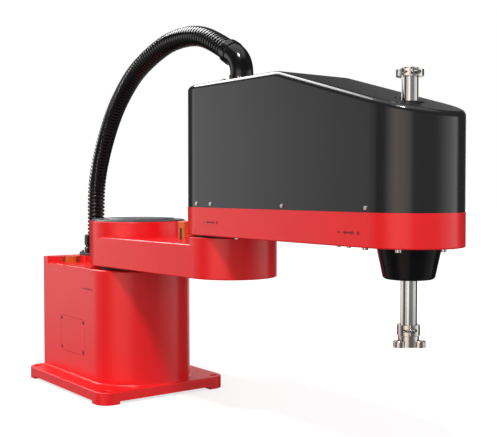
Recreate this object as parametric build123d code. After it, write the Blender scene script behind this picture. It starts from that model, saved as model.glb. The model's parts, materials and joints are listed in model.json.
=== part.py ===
from build123d import *
import math
import os

# Four-axis SCARA robot: a cast base, two horizontal arms, a hooded head and a
# ball-screw-spline shaft that lifts and turns the tool.
# Millimetres. +Z is up and +X runs along the straight arms. The origin is the
# centre of the four base bolt holes, on the mounting plane.

# Reach of the two arms, axis to axis
INNER_REACH = 350.0
OUTER_REACH = 450.0

# Base plate and its pads
PLATE_LENGTH = 375.0
PLATE_WIDTH = 305.0
PLATE_CORNER = 29.0
PLATE_TOP = 26.0
PLATE_FILLET = 2.0
PAD_HEIGHT = 6.0
PAD_SIZE = 42.0
BOLT_INSET = 20.0
BOLT_HOLE_R = 7.0
BOLT_CHAMFER = 1.0

# Base column, which leaves a lip of the plate all round
COLUMN_SIDE_LIP = 40.5
COLUMN_FRONT_LIP = 5.0
COLUMN_REAR_LIP = 7.0
COLUMN_WALL = 10.0
COLUMN_FOOT_FILLET = 2.7
DECK_Z = 266.0
DECK_THICKNESS = 18.0
DECK_FILLET = 3.5
PLATFORM_HEIGHT = 14.0
PLATFORM_SIDE = 23.0
PLATFORM_SHOULDER = 58.0
PLATFORM_NOSE = 83.0
PLATFORM_NOSE_HALF = 33.0
PLATFORM_FILLET = 8.0

# Heights of the arm stack
ARM_BOTTOM = 273.5
ARM_DECK = 335.5
J1_BOSS_TOP = 368.0
J2_BOSS_TOP = 349.0
HEAD_BOTTOM = 353.0
BAND_TOP = 404.0
COVER_TOP = 628.0

# Inner arm
J1_END_R = 105.5
J2_END_R = 86.5
ARM_WALL = 9.0
ARM_FLOOR = 16.5
J1_CUP_R = 92.0
CABLE_BORE_R = 22.0
ARM_ROOF = 12.0
ARM_FILLET = 4.0
J1_BOSS_FILLET = 1.5
J2_BOSS_FILLET = 1.0
ARM_RIB = 6.0
ARM_RIB_COUNT = 3

# Joint drives: gearboxes and motors
JOINT_GAP = 0.3
FIT = 0.1
J1_GEARBOX_R = 70.0
J1_GEARBOX_FLANGE_R = 84.0
J1_GEARBOX_DEPTH = 66.0
J1_OUTPUT_R = 78.0
J1_OUTPUT_BOLT_COUNT = 8
J1_OUTPUT_PITCH_R = 58.0
J1_MOTOR_SIDE = 96.0
J1_MOTOR_LENGTH = 120.0
J2_GEARBOX_R = 55.0
J2_GEARBOX_FLANGE_R = 70.0
J2_GEARBOX_DEPTH = 50.0
J2_OUTPUT_R = 66.0
J2_MOTOR_SIDE = 80.0
J2_MOTOR_LENGTH = 96.0

# Cap on the shoulder
CAP_R = 101.0
CAP_THICKNESS = 3.0
CAP_DOME_R = 75.0
CAP_DOME_THICKNESS = 3.0
CAP_FILLET = 1.0
CAP_DOME_CHAMFER = 2.0
CAP_SCREW_COUNT = 6

# Stops: soft blocks that the arms run against
J1_STOP_SETBACK = 58.5
J1_STOP_SPAN = 39.0
J1_STOP_HEIGHT = 13.5
J1_STOP_HOLDER = 4.0
J1_STOP_PAD = 26.0
J1_STOP_PAD_DEPTH = 8.0
J2_STOP_BACK = 168.0
J2_STOP_DEPTH = 24.0
J2_STOP_WIDTH = 26.0
J2_STOP_HEIGHT = 36.5
J2_STOP_CORE_DEPTH = 10.0
J2_STOP_CORE_HEIGHT = 23.0
J2_STOP_CORNER = 3.0
STOP_EDGE = 1.0

# Head: cast tray and moulded cover
HEAD_R = 81.5
HEAD_WALL = 8.6
HEAD_FLOOR = 12.0
HEAD_FILLET = 2.0
HEAD_RIB_HEIGHT = 12.0
HEAD_RIB = 6.0
HEAD_RIB_Y = 62.0
LIP_HEIGHT = 14.0
COVER_INSET = 0.8
COVER_WALL = 3.5
COVER_FILLET = 9.0
COVER_FLAT = 233.0
COVER_SLOPE_DEG = 15.5
COVER_RIDGE_R = 60.0
COVER_RIB = 3.0
COVER_RIB_DEPTH = 6.0
COVER_RIB_COUNT = 5
COVER_SCREWS_AHEAD_OF_J2 = (5.0, 50.0, 252.0)
COVER_SCREW_BEHIND_J3 = 8.0
COVER_SCREW_RISE = 6.5
WELL_R = 23.0
WELL_FLOOR = 563.0
WELL_CLEARANCE = 3.0
UNDERSIDE_SCREW_AHEAD_OF_J2 = (102.0, 62.0)
UNDERSIDE_SCREWS_BEHIND_J3 = ((86.0, 61.0), (62.0, 63.0), (48.0, 46.0))

# Nose cone under the head
CONE_TOP_R = 48.2
CONE_BOTTOM_R = 38.0
CONE_BOTTOM = 305.0
CONE_WALL = 3.5
CONE_FILLET = 6.0
CONE_MOUTH_R = 20.0
HOUSING_SCREW_COUNT = 6
HOUSING_PITCH_R = 66.0

# Quill shaft, its nuts and bearings
SHAFT_R = 12.5
SHAFT_BORE_R = 6.0
SHAFT_TOP = 615.0
SHAFT_GROOVE_COUNT = 6
SHAFT_GROOVE_R = 1.3
RUNNING = 0.05
SPLINE_NUT_R = 17.5
SPLINE_NUT_SHOULDER = 4.0
NUT_OVERHANG = 2.0
BALL_NUT_R = 19.0
BALL_NUT_BOTTOM = 438.0
BALL_NUT_RIM = 7.0
BALL_NUT_RIM_HEIGHT = 8.0
BEARING_R = 27.5
BEARING_WIDTH = 10.0
BEARING_LEDGE = 4.0
SNOUT_R = 33.0
SNOUT_BOTTOM = 316.0
LIFT_BEARING_R = 31.0
WIPER_GAP = 0.5
WIPER_LIP = 6.0
WIPER_THICKNESS = 2.5
NOSE_WIPER_RECESS = 0.5

# Stop collar and tool flange
COLLAR_R = 20.5
COLLAR_BOTTOM = 602.0
COLLAR_HEIGHT = 10.0
CLAMP_R = 17.0
CLAMP_TOP = 237.5
CLAMP_HEIGHT = 15.5
CLAMP_SLIT = 2.5
CLAMP_SLIT_TURN_DEG = -40.0
CLAMP_SCREW_LAND = 2.5
FLANGE_BOTTOM = 205.0
FLANGE_THICKNESS = 10.0
FLANGE_HUB_HEIGHT = 6.2
FLANGE_HUB_R = 15.5
FLANGE_FILLET = 1.5
FLANGE_LOBE_COUNT = 3
FLANGE_LOBE_R = 9.0
FLANGE_LOBE_PITCH_R = 17.0
FLANGE_TURN_DEG = 143.0
FLANGE_HOLE_R = 2.6

# Belt drives in the head
TOOTH_PITCH = 5.0
TOOTH_DEPTH = 2.1
TOOTH_WIDTH = 2.8
PITCH_LINE = 0.57
ROLL_MOTOR_TEETH = 20
ROLL_NUT_TEETH = 60
LIFT_MOTOR_TEETH = 24
LIFT_NUT_TEETH = 48
BELT_WIDTH = 15.0
BELT_THICKNESS = 1.8
BELT_GAP = 0.3
PULLEY_WIDTH = 18.0
PULLEY_RIM = 1.0
PULLEY_RIM_PLAY = 0.25
ROLL_BELT_Z = 384.0
LIFT_BELT_Z = 450.0
ROLL_CENTRES = 230.0
LIFT_CENTRES = 105.0
MOTOR_SIDE = 60.0
ROLL_MOTOR_LENGTH = 110.0
LIFT_MOTOR_LENGTH = 76.0
MOTOR_SHAFT_R = 7.0
MOTOR_SHAFT_TIP = 2.0
MOTOR_SHAFT_PLAY = 6.0
MOTOR_PLATE_Z = 406.0
MOTOR_PLATE_THICKNESS = 8.0
MOTOR_PLATE_SIDE = 90.0
MOTOR_PLATE_CORNER = 8.0
PLATE_BOSS_OFFSET = 37.0
PLATE_BOSS_R = 6.5
DRIVE_PLATE_Z = 474.0
DRIVE_PLATE_THICKNESS = 10.0
DRIVE_PLATE_R = 70.0
DRIVE_PLATE_REACH = 110.0
POST_R = 6.0
POST_SPREAD = 35.0
POST_Y = 50.0

# Side cover on the column
SIDE_COVER_LENGTH = 121.0
SIDE_COVER_HEIGHT = 79.0
SIDE_COVER_X = -99.5
SIDE_COVER_Z = 113.5
SIDE_COVER_CORNER = 7.0
SIDE_COVER_THICKNESS = 3.0
SIDE_COVER_SEAM = 0.6
SIDE_COVER_LEDGE = 9.0

# Rear connector panel
PANEL_MARGIN = 27.0
PANEL_HEIGHT = 120.0
PANEL_Z = 120.0
PANEL_THICKNESS = 3.0
PANEL_CORNER = 6.0
PANEL_LEDGE = 12.0
SOCKET_SPACING = 64.0
SOCKET_RISE = 18.0
SOCKET_FLANGE_SIDE = 40.0
SOCKET_FLANGE_THICKNESS = 4.0
SOCKET_FLANGE_CORNER = 5.0
SOCKET_BODY_R = 15.0
SOCKET_BODY_DEPTH = 14.0
SOCKET_SHELL_R = 16.0
SOCKET_SHELL_BORE_R = 12.5
SOCKET_SHELL_LENGTH = 18.0
PIN_R = 1.2
PIN_LENGTH = 8.0
PIN_PITCH_R = 8.0
POWER_PIN_COUNT = 6
SIGNAL_PIN_COUNT = 8
AIR_PORT_SPACING = 24.0
AIR_PORT_DROP = 34.0
AIR_PORT_THREAD_R = 5.0
AIR_PORT_THREAD_LENGTH = 10.0
AIR_PORT_HEX_R = 7.5
AIR_PORT_HEX_HEIGHT = 6.0
AIR_PORT_RING_R = 6.0
AIR_PORT_LENGTH = 16.0
AIR_PORT_BORE_R = 3.0
AIR_PORT_BORE_DEPTH = 12.0

# Conduit and its glands
CONDUIT_R = 20.0
GLAND_INSET = 49.0
GLAND_SIDE = 62.0
GLAND_CORNER = 6.0
GLAND_EDGE = 1.5
GLAND_THICKNESS = 8.0
GLAND_SCREW_INSET = 7.0
GLAND_SCREW_DEPTH = 12.0
GLAND_BODY_R = 27.5
GLAND_BODY_HEIGHT = 41.0
GLAND_BEVEL = 2.0
GLAND_GROOVE_RISE = 10.0
GLAND_GROOVE_DEPTH = 2.5
GLAND_GROOVE_WIDTH = 3.0
GLAND_TOP_BEVEL = 4.0
ELBOW_AHEAD = 34.0
ELBOW_REACH = 41.0
ELBOW_RISE = 60.0
ELBOW_R = 21.5
ELBOW_FOOT_HEIGHT = 10.0
ELBOW_EDGE = 1.5
ELBOW_NUT_R = 23.3
ELBOW_NUT_LENGTH = 17.0
ELBOW_BEND_R = 40.0
CABLE_HOLE_R = 15.0

# The conduit's route in the plane of the arms, as distance ahead of the first
# joint and height. The lower piece ends, and the upper one starts, above the
# inner arm.
LOWER_ROUTE = ((-202, 329), (-202, 383), (-195, 463), (-158, 542), (-109, 612), (-54, 662), (6, 701), (59, 719))
UPPER_ROUTE = ((59, 719), (112, 737), (185, 743), (246, 738), (301, 718), (343, 696))

# Screws, by thread
M4 = 4.0
M5 = 5.0
M6 = 6.0
M8 = 8.0
SCREW_PLAY = 0.2

# Scribed zero marks on the joints
MARK_LENGTH = 12.0
MARK_WIDTH = 1.2
MARK_DEPTH = 0.6

# Sizes and places that follow from those above
COLUMN_R = PLATE_WIDTH / 2 - COLUMN_SIDE_LIP
PANEL_WIDTH = 2 * (COLUMN_R - PANEL_MARGIN)
J1_STOP_ALONG = COLUMN_R - J1_STOP_SETBACK
PLATE_FRONT_X = PLATE_LENGTH / 2
J1_X = PLATE_FRONT_X - COLUMN_FRONT_LIP - COLUMN_R
J2_X = J1_X + INNER_REACH
J3_X = J2_X + OUTER_REACH
REAR_X = COLUMN_REAR_LIP - PLATE_LENGTH / 2
PLATFORM_TOP = DECK_Z + PLATFORM_HEIGHT
FLOOR_TOP = HEAD_BOTTOM + HEAD_FLOOR
TRAY_R = HEAD_R - HEAD_WALL
COVER_R = HEAD_R - COVER_INSET
LIP_TOP = BAND_TOP + LIP_HEIGHT
RIDGE_X = J2_X + COVER_FLAT
ROLL_MOTOR_X = J3_X - ROLL_CENTRES
LIFT_MOTOR_X = J3_X - LIFT_CENTRES
GLAND_X = REAR_X + GLAND_INSET
GLAND_MOUTH_Z = PLATFORM_TOP + GLAND_THICKNESS + GLAND_BODY_HEIGHT
ELBOW_X = J2_X + ELBOW_AHEAD
ELBOW_MOUTH_X = ELBOW_X - ELBOW_REACH
ELBOW_MOUTH_Z = COVER_TOP + GLAND_THICKNESS + ELBOW_RISE


def rod(radius, low, high, x=0.0, y=0.0):
    """A round bar standing between two heights."""
    return Pos(x, y, low) * extrude(Circle(radius), high - low)


def ring(outer, inner, low, high, x=0.0, y=0.0):
    """A round collar standing between two heights."""
    return Pos(x, y, low) * extrude(Circle(outer) - Circle(inner), high - low)


def prism(outline, low, high):
    """A plan outline raised between two heights."""
    return Pos(0, 0, low) * extrude(outline, high - low, dir=(0, 0, 1))


def slab(x, y, length, width, low, high, corner=0.0):
    """A rectangular block, with rounded upright edges where corner is given."""
    outline = RectangleRounded(length, width, corner) if corner else Rectangle(length, width)
    return Pos(x, y, low) * extrude(outline, high - low)


def turned(profile, x, y=0.0):
    """A turned piece about an upright axis, from its (radius, height) outline."""
    outline = make_face(Plane.XZ * Polyline(*profile, close=True))
    return Pos(x, y, 0) * revolve(outline, Axis.Z)


def pill(x1, r1, x2, r2):
    """The plan outline of two circles on the X axis and their outer tangents."""
    lean = math.asin((r1 - r2) / (x2 - x1))
    along, across = math.sin(lean), math.cos(lean)
    rear = (x1 + r1 * along, r1 * across)
    front = (x2 + r2 * along, r2 * across)
    outline = Line(rear, front)
    outline += ThreePointArc(front, (x2 + r2, 0), (front[0], -front[1]))
    outline += Line((front[0], -front[1]), (rear[0], -rear[1]))
    outline += ThreePointArc((rear[0], -rear[1]), (x1 - r1, 0), rear)
    return make_face(outline)


def top_edges(body):
    return body.edges().group_by(Axis.Z)[-1]


def bottom_edges(body):
    return body.edges().group_by(Axis.Z)[0]


def circle_of(count, radius, x, y=0.0, turn=0.0):
    """Evenly spaced points on a circle."""
    angles = [math.radians(turn + 360.0 * i / count) for i in range(count)]
    return [(x + radius * math.cos(a), y + radius * math.sin(a)) for a in angles]


def seat(x, y, z, facing=(0, 0, 1)):
    """The place of a screw: its head seats here and faces outward."""
    return Plane(origin=(x, y, z), z_dir=facing).location


def corner_seats(x, y, z, half_x, half_y):
    """Four upward screw places round a centre."""
    return [seat(x + i * half_x, y + j * half_y, z) for i in (-1, 1) for j in (-1, 1)]


def cap_screws(seats, thread, grip):
    """Socket-head screws, one solid at each seat."""
    head = rod(0.75 * thread, 0, 0.8 * thread)
    socket = Pos(0, 0, 0.4 * thread) * extrude(RegularPolygon(0.45 * thread, 6), thread)
    screw = head + rod(thread / 2, -grip, 0) - socket
    return Compound(children=[place * screw for place in seats])


def button_screws(seats, thread, grip, sunk=0.0):
    """Low round-head screws; a sunk head sits in a pocket of that depth."""
    radius, height = 0.9 * thread, 0.5 * thread
    head = Pos(0, 0, -sunk) * extrude(Circle(radius), height, taper=20)
    socket = extrude(RegularPolygon(0.35 * thread, 6), thread)
    screw = head + rod(thread / 2, -sunk - grip, -sunk) - Pos(0, 0, -sunk + 0.2 * thread) * socket
    return Compound(children=[place * screw for place in seats])


def holes(seats, thread, depth):
    """Clearance holes for screws at these seats."""
    bore = rod(thread / 2 + SCREW_PLAY, -depth, thread)
    return [place * bore for place in seats]


def motor(side, length, x, low):
    """A square servo motor standing on its flange, with its encoder cap on top."""
    flange = slab(x, 0, side, side, low, low + 0.12 * side, 0.08 * side)
    body = slab(x, 0, 0.92 * side, 0.92 * side, low, low + 0.8 * length, 0.16 * side)
    cap = slab(x, 0, 0.8 * side, 0.8 * side, low, low + length, 0.2 * side)
    return flange + body + cap


def pitch_r(teeth):
    return teeth * TOOTH_PITCH / (2 * math.pi)


def tip_r(teeth):
    return pitch_r(teeth) - PITCH_LINE


def pulley(teeth, bore, low, x):
    """A toothed belt pulley with a flange at each end."""
    tip = tip_r(teeth)
    gap = Trapezoid(TOOTH_WIDTH, TOOTH_DEPTH + 1, 80)
    gaps = [Rot(0, 0, 360.0 * i / teeth) * Pos(0, tip - TOOTH_DEPTH / 2 + 0.5) * Rot(0, 0, 180) * gap
            for i in range(teeth)]
    toothed = Circle(tip) - gaps - Circle(bore)
    rim = (PULLEY_WIDTH - BELT_WIDTH) / 2 - PULLEY_RIM_PLAY
    body = prism(toothed, low, low + PULLEY_WIDTH)
    rims = [ring(tip + PULLEY_RIM, bore, z, z + rim) for z in (low, low + PULLEY_WIDTH - rim)]
    return Pos(x, 0, 0) * (body + rims)


def belt(rear_x, rear_teeth, front_x, front_teeth, low):
    """A flat-backed belt round two pulleys."""
    r1, r2 = tip_r(rear_teeth) + BELT_GAP, tip_r(front_teeth) + BELT_GAP
    loop = pill(rear_x, r1 + BELT_THICKNESS, front_x, r2 + BELT_THICKNESS) - pill(rear_x, r1, front_x, r2)
    margin = (PULLEY_WIDTH - BELT_WIDTH) / 2
    return prism(loop, low + margin, low + margin + BELT_WIDTH)


def mark(x, y, low, high):
    """A scribed upright line to cut into a wall."""
    return Pos(x, y, (low + high) / 2) * Box(MARK_WIDTH, 2 * MARK_DEPTH, high - low)


def column_outline(inset=0.0):
    """The column's plan: square at the rear and round about the first joint."""
    radius, rear = COLUMN_R - inset, REAR_X + inset
    return Pos((rear + J1_X) / 2, 0) * Rectangle(J1_X - rear, 2 * radius) + Pos(J1_X, 0) * Circle(radius)


def platform_outline():
    """The raised rear platform: two slanted faces for the stops and a square nose."""
    side = [(REAR_X, -COLUMN_R), (REAR_X + PLATFORM_SIDE, -COLUMN_R),
            (REAR_X + PLATFORM_SHOULDER, -PLATFORM_NOSE_HALF), (REAR_X + PLATFORM_NOSE, -PLATFORM_NOSE_HALF)]
    return make_face(Polyline(*side, *[(x, -y) for x, y in reversed(side)], close=True))


def side_cover_seats():
    half_x = SIDE_COVER_LENGTH / 2 - SIDE_COVER_CORNER
    half_z = SIDE_COVER_HEIGHT / 2 - SIDE_COVER_CORNER
    return [seat(J1_X + SIDE_COVER_X + i * half_x, -COLUMN_R, SIDE_COVER_Z + j * half_z, (0, -1, 0))
            for i in (-1, 1) for j in (-1, 1)]


def side_plate(length, height, depth, corner):
    """A rounded plate let into the column's right side, from its outer face inward."""
    centre = (J1_X + SIDE_COVER_X, -COLUMN_R + depth, SIDE_COVER_Z)
    face = Plane(origin=centre, x_dir=(1, 0, 0), z_dir=(0, -1, 0))
    return extrude(face * RectangleRounded(length, height, corner), depth)


def panel_seats():
    half_y, half_z = PANEL_WIDTH / 2 - PANEL_CORNER, PANEL_HEIGHT / 2 - PANEL_CORNER
    return [seat(REAR_X - PANEL_THICKNESS, i * half_y, PANEL_Z + j * half_z, (-1, 0, 0))
            for i in (-1, 1) for j in (-1, 1)]


def rear_plane(depth=0.0):
    """A work plane on the column's rear face, looking out to the rear."""
    return Plane(origin=(REAR_X - depth, 0, PANEL_Z), x_dir=(0, -1, 0), z_dir=(-1, 0, 0))


def base_casting():
    plate_outline = RectangleRounded(PLATE_LENGTH, PLATE_WIDTH, PLATE_CORNER)
    plate = prism(plate_outline, PAD_HEIGHT, PLATE_TOP)
    plate = fillet(top_edges(plate), PLATE_FILLET)
    pads = Sketch() + [place * RectangleRounded(2 * PAD_SIZE, 2 * PAD_SIZE, PAD_SIZE / 4)
                       for place in GridLocations(PLATE_LENGTH, PLATE_WIDTH, 2, 2).locations]
    pads = prism(pads & plate_outline, 0, PAD_HEIGHT)

    column = prism(column_outline(), PLATE_TOP, DECK_Z)
    column = fillet(top_edges(column), DECK_FILLET)
    body = plate + column
    foot = [e for e in body.edges() if abs(e.center().Z - PLATE_TOP) < 0.01
            and abs(e.center().Y) < COLUMN_R + 0.1 and REAR_X - 0.1 < e.center().X < J1_X + COLUMN_R + 0.1]
    body = fillet(foot, COLUMN_FOOT_FILLET)
    body += pads
    platform = prism(platform_outline(), DECK_Z - DECK_FILLET - 1, PLATFORM_TOP)
    inner_corners = platform.edges().filter_by(Axis.Z).filter_by_position(
        Axis.X, REAR_X + PLATFORM_SHOULDER - 1, REAR_X + PLATFORM_SHOULDER + 1)
    body += fillet(inner_corners, PLATFORM_FILLET)

    body -= prism(column_outline(COLUMN_WALL), -1, DECK_Z - DECK_THICKNESS)
    body -= rod(J1_GEARBOX_R + FIT, DECK_Z - DECK_THICKNESS - 1, DECK_Z + 1, J1_X)
    body -= rod(CABLE_HOLE_R, DECK_Z - DECK_THICKNESS - 1, PLATFORM_TOP + 1, GLAND_X)

    mouth_r, above = BOLT_HOLE_R + 2 * BOLT_CHAMFER, PLATE_TOP + BOLT_CHAMFER
    bolt = turned([(0, -1), (BOLT_HOLE_R, -1), (BOLT_HOLE_R, PLATE_TOP - BOLT_CHAMFER),
                   (mouth_r, above), (0, above)], 0)
    spacing = (PLATE_LENGTH - 2 * BOLT_INSET, PLATE_WIDTH - 2 * BOLT_INSET)
    body -= [place * bolt for place in GridLocations(*spacing, 2, 2).locations]

    body -= side_plate(SIDE_COVER_LENGTH, SIDE_COVER_HEIGHT, SIDE_COVER_THICKNESS, SIDE_COVER_CORNER)
    body -= side_plate(SIDE_COVER_LENGTH - 2 * SIDE_COVER_LEDGE, SIDE_COVER_HEIGHT - 2 * SIDE_COVER_LEDGE,
                       COLUMN_WALL + 1, SIDE_COVER_CORNER)
    body -= holes(side_cover_seats(), M4, COLUMN_WALL + 1)
    window = RectangleRounded(PANEL_WIDTH - 2 * PANEL_LEDGE, PANEL_HEIGHT - 2 * PANEL_LEDGE, PANEL_CORNER)
    body -= extrude(rear_plane(1) * window, -COLUMN_WALL - 2)
    body -= holes(panel_seats(), M4, COLUMN_WALL)
    body -= holes(gland_seats(GLAND_X, PLATFORM_TOP), M5, GLAND_THICKNESS + GLAND_SCREW_DEPTH + 2)
    body -= mark(J1_X, -COLUMN_R, DECK_Z - MARK_LENGTH, DECK_Z + 1)
    return body


def side_cover():
    play = SIDE_COVER_SEAM
    cover = side_plate(SIDE_COVER_LENGTH - 2 * play, SIDE_COVER_HEIGHT - 2 * play, SIDE_COVER_THICKNESS,
                       SIDE_COVER_CORNER - play)
    cover -= holes(side_cover_seats(), M4, SIDE_COVER_THICKNESS + 1)
    return cover - [place * rod(M4, -2, 1) for place in side_cover_seats()]


def rear_panel():
    outline = RectangleRounded(PANEL_WIDTH, PANEL_HEIGHT, PANEL_CORNER)
    outline -= [Pos(side * SOCKET_SPACING / 2, SOCKET_RISE) * Circle(SOCKET_BODY_R + FIT) for side in (-1, 1)]
    outline -= [Pos(i * AIR_PORT_SPACING, -AIR_PORT_DROP) * Circle(AIR_PORT_THREAD_R + FIT) for i in (-1, 0, 1)]
    return extrude(rear_plane() * outline, PANEL_THICKNESS) - holes(panel_seats(), M4, PANEL_THICKNESS + 1)


def round_socket(side, pins):
    """A round panel connector: square flange, threaded shell and pins."""
    floor = SOCKET_FLANGE_THICKNESS
    flange = extrude(RectangleRounded(SOCKET_FLANGE_SIDE, SOCKET_FLANGE_SIDE, SOCKET_FLANGE_CORNER), floor)
    shell = rod(SOCKET_BODY_R, -SOCKET_BODY_DEPTH, 0) + rod(SOCKET_SHELL_R, 0, SOCKET_SHELL_LENGTH)
    shell -= rod(SOCKET_SHELL_BORE_R, floor, SOCKET_SHELL_LENGTH + 1)
    contacts = [rod(PIN_R, floor - 1, floor + PIN_LENGTH, x, y) for x, y in circle_of(pins, PIN_PITCH_R, 0)]
    place = rear_plane(PANEL_THICKNESS).location * Pos(side * SOCKET_SPACING / 2, SOCKET_RISE)
    return place * (flange + shell + contacts)


def air_ports():
    """Push-in air fittings, each with its hexagon and release ring."""
    body = rod(AIR_PORT_THREAD_R, -AIR_PORT_THREAD_LENGTH, 0) + rod(AIR_PORT_RING_R, 0, AIR_PORT_LENGTH)
    body += extrude(RegularPolygon(AIR_PORT_HEX_R, 6), AIR_PORT_HEX_HEIGHT)
    port = body - rod(AIR_PORT_BORE_R, AIR_PORT_LENGTH - AIR_PORT_BORE_DEPTH, AIR_PORT_LENGTH + 1)
    place = rear_plane(PANEL_THICKNESS).location
    return Compound(children=[place * Pos(i * AIR_PORT_SPACING, -AIR_PORT_DROP) * port for i in (-1, 0, 1)])


def stop_plane():
    """A work plane on the deck at the foot of a slanted face, X along the face and -Y out of it."""
    run = (PLATFORM_SHOULDER - PLATFORM_SIDE, COLUMN_R - PLATFORM_NOSE_HALF)
    along = Vector(run[0], run[1], 0).normalized()
    start = Vector(REAR_X + PLATFORM_SIDE, -COLUMN_R, DECK_Z)
    return Plane(origin=start + along * J1_STOP_ALONG, x_dir=along, z_dir=(0, 0, 1))


def both_sides(piece):
    return Compound(children=[piece, mirror(piece, about=Plane.XZ)])


def j1_stop_holders():
    depth = J1_STOP_HOLDER
    holder = slab(0, -depth / 2, J1_STOP_SPAN, depth, 0, J1_STOP_HEIGHT, STOP_EDGE)
    return both_sides(stop_plane().location * holder)


def j1_stops():
    """Soft blocks with rounded fronts, one on each side of the platform."""
    depth = J1_STOP_PAD_DEPTH
    block = slab(0, -J1_STOP_HOLDER - depth / 2, J1_STOP_PAD, depth, 0, J1_STOP_HEIGHT)
    front = block.edges().filter_by(Axis.Z).group_by(Axis.Y)[0]
    return both_sides(stop_plane().location * fillet(front, 0.7 * depth))


def j1_gearbox():
    top, neck = DECK_Z + (ARM_BOTTOM - DECK_Z - JOINT_GAP) / 2, DECK_Z - J1_GEARBOX_DEPTH
    return turned([(0, neck), (J1_GEARBOX_R, neck), (J1_GEARBOX_R, DECK_Z), (J1_GEARBOX_FLANGE_R, DECK_Z),
                   (J1_GEARBOX_FLANGE_R, top), (0, top)], J1_X)


def j1_motor():
    """The shoulder motor hangs under its gearbox, its encoder cap downward."""
    hanging = motor(J1_MOTOR_SIDE, J1_MOTOR_LENGTH, 0, 0)
    return Pos(J1_X, 0, DECK_Z - J1_GEARBOX_DEPTH) * Rot(180, 0, 0) * hanging


def arm_outline(inset=0.0):
    return pill(J1_X, J1_END_R - inset, J2_X, J2_END_R - inset)


def j1_bolt_seats():
    places = circle_of(J1_OUTPUT_BOLT_COUNT, J1_OUTPUT_PITCH_R, J1_X)
    return [seat(x, y, ARM_BOTTOM + ARM_FLOOR) for x, y in places]


def cap_seats():
    pitch = (CAP_R + CAP_DOME_R) / 2
    return [seat(x, y, J1_BOSS_TOP + CAP_THICKNESS)
            for x, y in circle_of(CAP_SCREW_COUNT, pitch, J1_X, turn=180.0 / CAP_SCREW_COUNT)]


def inner_arm_casting():
    body = prism(arm_outline(), ARM_BOTTOM, ARM_DECK)
    body = fillet(top_edges(body), ARM_FILLET)
    body = fillet(bottom_edges(body), ARM_FILLET / 2)
    shoulder = rod(J1_END_R, ARM_BOTTOM + ARM_FILLET, J1_BOSS_TOP, J1_X)
    elbow = rod(J2_END_R, ARM_BOTTOM + ARM_FILLET, J2_BOSS_TOP, J2_X)
    body += fillet(top_edges(shoulder), J1_BOSS_FILLET)
    body += fillet(top_edges(elbow), J2_BOSS_FILLET)

    pocket = arm_outline(ARM_WALL) - Pos(J1_X, 0) * Circle(J1_END_R - ARM_RIB)
    pocket -= Pos(J2_X, 0) * Circle(J2_GEARBOX_FLANGE_R)
    pocket -= Pos((J1_X + J2_X) / 2, 0) * Rectangle(INNER_REACH, ARM_RIB)
    first, last = J1_X + J1_END_R, J2_X - J2_GEARBOX_FLANGE_R
    step = (last - first) / (ARM_RIB_COUNT + 1)
    pocket -= [Pos(first + (i + 1) * step, 0) * Rectangle(ARM_RIB, 2 * J1_END_R) for i in range(ARM_RIB_COUNT)]
    body -= prism(pocket, ARM_BOTTOM - 1, ARM_DECK - ARM_ROOF)

    body -= rod(J1_CUP_R, ARM_BOTTOM + ARM_FLOOR, J1_BOSS_TOP + 1, J1_X)
    body -= rod(CABLE_BORE_R, ARM_BOTTOM - 1, J1_BOSS_TOP, J1_X)
    body -= rod(J2_GEARBOX_R + FIT, J2_BOSS_TOP - J2_GEARBOX_DEPTH, J2_BOSS_TOP + 1, J2_X)
    body -= rod(CABLE_BORE_R, ARM_BOTTOM - 1, J2_BOSS_TOP, J2_X)
    body -= holes(j1_bolt_seats(), M8, ARM_FLOOR + 1)
    body -= mark(J1_X, -J1_END_R, ARM_BOTTOM - 1, ARM_BOTTOM + MARK_LENGTH)
    body -= mark(J2_X, -J2_END_R, J2_BOSS_TOP - MARK_LENGTH, J2_BOSS_TOP + 1)
    return body


def j1_output():
    top, low = ARM_BOTTOM, DECK_Z + (ARM_BOTTOM - DECK_Z + JOINT_GAP) / 2
    flange = ring(J1_OUTPUT_R, CABLE_BORE_R, low, top, J1_X)
    return flange - holes(j1_bolt_seats(), M8, ARM_FLOOR + ARM_BOTTOM)


def cap_plate():
    plate = rod(CAP_R, J1_BOSS_TOP, J1_BOSS_TOP + CAP_THICKNESS, J1_X)
    plate = fillet(top_edges(plate), CAP_FILLET)
    return plate - holes(cap_seats(), M4, CAP_THICKNESS + 1)


def cap_dome():
    dome = rod(CAP_DOME_R, J1_BOSS_TOP + CAP_THICKNESS, J1_BOSS_TOP + CAP_THICKNESS + CAP_DOME_THICKNESS, J1_X)
    return chamfer(top_edges(dome), CAP_DOME_CHAMFER)


def j2_stop_core():
    """The steel core that carries the elbow's soft stop."""
    x = J2_X - J2_STOP_BACK + J2_STOP_DEPTH / 2
    return slab(x, 0, J2_STOP_CORE_DEPTH, J2_STOP_WIDTH, ARM_DECK, ARM_DECK + J2_STOP_CORE_HEIGHT, STOP_EDGE)


def j2_stop():
    """The elbow's soft stop, moulded over its core, with a window on each side."""
    x = J2_X - J2_STOP_BACK + J2_STOP_DEPTH / 2
    block = slab(x, 0, J2_STOP_DEPTH, J2_STOP_WIDTH, ARM_DECK, ARM_DECK + J2_STOP_HEIGHT, J2_STOP_CORNER)
    block = fillet(top_edges(block), STOP_EDGE)
    return block - j2_stop_core()


def gearbox_split():
    """The height where the elbow gearbox ends, under its output flange."""
    return (J2_BOSS_TOP + HEAD_BOTTOM) / 2


def j2_gearbox():
    top, neck = gearbox_split() - JOINT_GAP / 2, J2_BOSS_TOP - J2_GEARBOX_DEPTH
    return turned([(0, neck), (J2_GEARBOX_R, neck), (J2_GEARBOX_R, J2_BOSS_TOP),
                   (J2_GEARBOX_FLANGE_R, J2_BOSS_TOP), (J2_GEARBOX_FLANGE_R, top), (0, top)], J2_X)


def j2_output():
    return ring(J2_OUTPUT_R, CABLE_BORE_R / 2, gearbox_split() + JOINT_GAP / 2, HEAD_BOTTOM, J2_X)


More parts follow.
